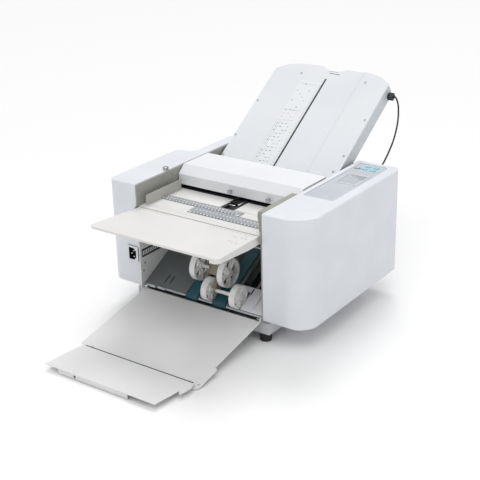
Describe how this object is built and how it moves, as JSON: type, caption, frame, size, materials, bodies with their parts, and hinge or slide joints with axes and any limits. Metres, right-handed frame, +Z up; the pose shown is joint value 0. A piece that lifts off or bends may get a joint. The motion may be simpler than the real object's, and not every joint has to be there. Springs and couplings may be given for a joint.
{
  "type": "paper folding machine",
  "caption": "Desktop paper folding machine with feed table, fold rollers, sloping upper fold plate and lower delivery tray with stacker wheels.",
  "frame": {"origin": "centre of the machine's bounding box on the desk", "axes": "+X towards the control panel side, +Y towards the upper fold plate at the rear, +Z up"},
  "size_m": [0.5262, 0.9302, 0.4561],
  "materials": {
    "housing_white": "satin",
    "frame_grey": "satin",
    "flange_olive": "satin",
    "steel": "brushed",
    "pan_white": "satin",
    "foot_rubber": "matte",
    "black_plastic": "matte",
    "dark_grille": "matte",
    "panel_grey": "matte",
    "display_dark": "gloss",
    "board_green": "matte",
    "key_teal": "satin",
    "key_grey": "satin",
    "cover_white": "satin",
    "screw_dark": "satin",
    "knob_chrome": "polished",
    "table_white": "satin",
    "guide_grey": "satin",
    "gear_nylon": "matte",
    "feed_rubber": "matte",
    "pad_rubber": "matte",
    "roller_rubber": "satin",
    "motor_steel": "satin",
    "pulley_aluminium": "machined",
    "belt_black": "matte",
    "bed_dark": "satin",
    "belt_teal": "matte",
    "roller_grey": "machined",
    "arm_beige": "satin",
    "wheel_white": "satin",
    "tray_white": "satin",
    "plate_white": "satin",
    "plate_casing": "satin",
    "stopper_grey": "satin"
  },
  "bodies": {
    "machine": {"chassis": "pan_white", "left_frame": "frame_grey", "right_frame": "flange_olive", "tie_bars": "steel", "rear_panel": "pan_white", "left_housing": "housing_white", "right_housing": "housing_white", "rubber_feet": "foot_rubber", "power_inlet": "black_plastic", "side_vent": "dark_grille", "control_panel": "panel_grey", "display_window": "display_dark", "control_board": "board_green", "hinge_pins": "steel", "feed_bed": "table_white", "separation_pad": "pad_rubber", "main_motor": "motor_steel", "drive_belt": "belt_black", "delivery_bed": "bed_dark", "delivery_belts": "belt_teal", "upper_plate_lid": "plate_white", "upper_plate_base": "plate_casing", "stopper_motor": "motor_steel", "plate_cable": "black_plastic", "cable_plug": "black_plastic", "lower_fold_plate": "steel"},
    "cover": {"top_cover": "cover_white", "cover_screws": "screw_dark"},
    "table": {"feed_table": "table_white"},
    "tray": {"delivery_tray": "tray_white"},
    "extension": {"tray_extension": "tray_white"},
    "left_guide_body": {"left_guide": "guide_grey"},
    "right_guide_body": {"right_guide": "guide_grey"},
    "guide_pinion_body": {"guide_pinion": "gear_nylon"},
    "feed_roller_body": {"feed_roller": "feed_rubber"},
    "main_roller_body": {"main_fold_roller": "roller_rubber", "main_gear": "gear_nylon", "main_pulley": "pulley_aluminium"},
    "top_roller_body": {"top_fold_roller": "roller_rubber", "top_gear": "gear_nylon"},
    "rear_roller_body": {"rear_fold_roller": "roller_rubber", "rear_gear": "gear_nylon"},
    "bottom_roller_body": {"bottom_fold_roller": "roller_rubber", "bottom_gear": "gear_nylon"},
    "motor_pulley_body": {"motor_pulley": "pulley_aluminium"},
    "rear_belt_body": {"rear_belt_roller": "roller_grey"},
    "front_belt_body": {"front_belt_roller": "roller_grey"},
    "arm": {"stacker_arm": "arm_beige"},
    "upper_wheels": {"upper_stacker_wheels": "wheel_white"},
    "lower_wheels": {"lower_stacker_wheels": "wheel_white"},
    "lock_knob_body": {"lock_knob": "knob_chrome"},
    "rocker": {"power_rocker": "black_plastic"},
    "stopper": {"fold_stopper": "stopper_grey"},
    "lead_screw": {"plate_lead_screw": "steel"},
    "lower_stopper_body": {"lower_stopper": "stopper_grey"},
    "start_key_body": {"start_key": "key_teal"},
    "stop_key_body": {"stop_key": "key_teal"},
    "reset_key_body": {"reset_key": "key_grey"},
    "plus_key_body": {"plus_key": "key_teal"},
    "minus_key_body": {"minus_key": "key_teal"}
  },
  "joints": [
    {"name": "cover_hinge", "type": "hinge", "parent": "machine", "child": "cover", "pos_m": [-0.0145, 0.124, 0.287], "axis": [-1, 0, 0], "range_deg": [0, 70]},
    {"name": "table_hinge", "type": "hinge", "parent": "machine", "child": "table", "pos_m": [-0.0145, -0.132, 0.241], "axis": [-1, 0, 0], "range_deg": [0, 85]},
    {"name": "tray_hinge", "type": "hinge", "parent": "machine", "child": "tray", "pos_m": [-0.0145, -0.126, 0.052], "axis": [-1, 0, 0], "range_deg": [0, 35]},
    {"name": "extension_hinge", "type": "hinge", "parent": "tray", "child": "extension", "pos_m": [-0.0145, -0.35507, 0.00929], "axis": [-1, 0, 0], "range_deg": [0, 165]},
    {"name": "left_guide_slide", "type": "slide", "parent": "machine", "child": "left_guide_body", "axis": [1, 0, 0], "range_m": [0, 0.096]},
    {"name": "right_guide_slide", "type": "slide", "parent": "machine", "child": "right_guide_body", "axis": [-1, 0, 0], "range_m": [0, 0.096]},
    {"name": "guide_pinion_spin", "type": "hinge", "parent": "machine", "child": "guide_pinion_body", "pos_m": [-0.0145, -0.063, 0.237], "axis": [0, 0, 1], "range_deg": [-790, 0]},
    {"name": "feed_roller_spin", "type": "hinge", "parent": "machine", "child": "feed_roller_body", "pos_m": [-0.0025, 0.042, 0.2633], "axis": [1, 0, 0], "continuous": true},
    {"name": "main_roller_spin", "type": "hinge", "parent": "machine", "child": "main_roller_body", "pos_m": [-0.0145, 0.115, 0.218], "axis": [1, 0, 0], "continuous": true},
    {"name": "top_roller_spin", "type": "hinge", "parent": "machine", "child": "top_roller_body", "pos_m": [-0.0145, 0.09792, 0.25461], "axis": [1, 0, 0], "continuous": true},
    {"name": "rear_roller_spin", "type": "hinge", "parent": "machine", "child": "rear_roller_body", "pos_m": [-0.0145, 0.15402, 0.22846], "axis": [1, 0, 0], "continuous": true},
    {"name": "bottom_roller_spin", "type": "hinge", "parent": "machine", "child": "bottom_roller_body", "pos_m": [-0.0145, 0.12882, 0.18004], "axis": [1, 0, 0], "continuous": true},
    {"name": "motor_spin", "type": "hinge", "parent": "machine", "child": "motor_pulley_body", "pos_m": [0.1775, 0.2, 0.126], "axis": [1, 0, 0], "continuous": true},
    {"name": "rear_belt_spin", "type": "hinge", "parent": "machine", "child": "rear_belt_body", "pos_m": [-0.0145, 0.035, 0.13039], "axis": [1, 0, 0], "continuous": true},
    {"name": "front_belt_spin", "type": "hinge", "parent": "machine", "child": "front_belt_body", "pos_m": [-0.0145, -0.11, 0.05067], "axis": [1, 0, 0], "continuous": true},
    {"name": "arm_lift", "type": "hinge", "parent": "machine", "child": "arm", "pos_m": [0.0005, -0.025, 0.16553], "axis": [-1, 0, 0], "range_deg": [0, 25]},
    {"name": "upper_wheel_spin", "type": "hinge", "parent": "arm", "child": "upper_wheels", "pos_m": [-0.007, -0.082, 0.11753], "axis": [1, 0, 0], "continuous": true},
    {"name": "lower_wheel_spin", "type": "hinge", "parent": "arm", "child": "lower_wheels", "pos_m": [0.038, -0.11, 0.08199], "axis": [1, 0, 0], "continuous": true},
    {"name": "lock_knob_turn", "type": "hinge", "parent": "machine", "child": "lock_knob_body", "pos_m": [-0.1878, -0.015, 0.29], "axis": [0, 0, 1], "range_deg": [-180, 180]},
    {"name": "rocker_tilt", "type": "hinge", "parent": "machine", "child": "rocker", "pos_m": [-0.2558, -0.09, 0.11], "axis": [0, 1, 0], "range_deg": [0, 12]},
    {"name": "stopper_slide", "type": "slide", "parent": "machine", "child": "stopper", "axis": [0, 0.832, 0.5548], "range_m": [0, 0.205]},
    {"name": "lead_screw_spin", "type": "hinge", "parent": "machine", "child": "lead_screw", "pos_m": [-0.0215, 0.31643, 0.34061], "axis": [0, 0.832, 0.5548], "range_deg": [0, 7400]},
    {"name": "lower_stopper_slide", "type": "slide", "parent": "machine", "child": "lower_stopper_body", "axis": [0, 0.7431, -0.6691], "range_m": [-0.036, 0.076]},
    {"name": "start_key_press", "type": "slide", "parent": "machine", "child": "start_key_body", "axis": [0, 0, -1], "range_m": [0, 0.001], "stiffness_N_per_m": 400, "springref_m": -0.0005},
    {"name": "stop_key_press", "type": "slide", "parent": "machine", "child": "stop_key_body", "axis": [0, 0, -1], "range_m": [0, 0.001], "stiffness_N_per_m": 400, "springref_m": -0.0005},
    {"name": "reset_key_press", "type": "slide", "parent": "machine", "child": "reset_key_body", "axis": [0, 0, -1], "range_m": [0, 0.001], "stiffness_N_per_m": 400, "springref_m": -0.0005},
    {"name": "plus_key_press", "type": "slide", "parent": "machine", "child": "plus_key_body", "axis": [0, 0, -1], "range_m": [0, 0.001], "stiffness_N_per_m": 400, "springref_m": -0.0005},
    {"name": "minus_key_press", "type": "slide", "parent": "machine", "child": "minus_key_body", "axis": [0, 0, -1], "range_m": [0, 0.001], "stiffness_N_per_m": 400, "springref_m": -0.0005}
  ],
  "couplings": [
    {"joint": "right_guide_slide", "follows": "left_guide_slide", "ratio": 1},
    {"joint": "guide_pinion_spin", "follows": "left_guide_slide", "rad_per_m": -142.86},
    {"joint": "top_roller_spin", "follows": "main_roller_spin", "ratio": -1},
    {"joint": "rear_roller_spin", "follows": "main_roller_spin", "ratio": -1},
    {"joint": "bottom_roller_spin", "follows": "main_roller_spin", "ratio": -1},
    {"joint": "motor_spin", "follows": "main_roller_spin", "ratio": 2},
    {"joint": "front_belt_spin", "follows": "rear_belt_spin", "ratio": 1},
    {"joint": "upper_wheel_spin", "follows": "rear_belt_spin", "ratio": -0.3176},
    {"joint": "lead_screw_spin", "follows": "stopper_slide", "rad_per_m": 628.32}
  ]
}
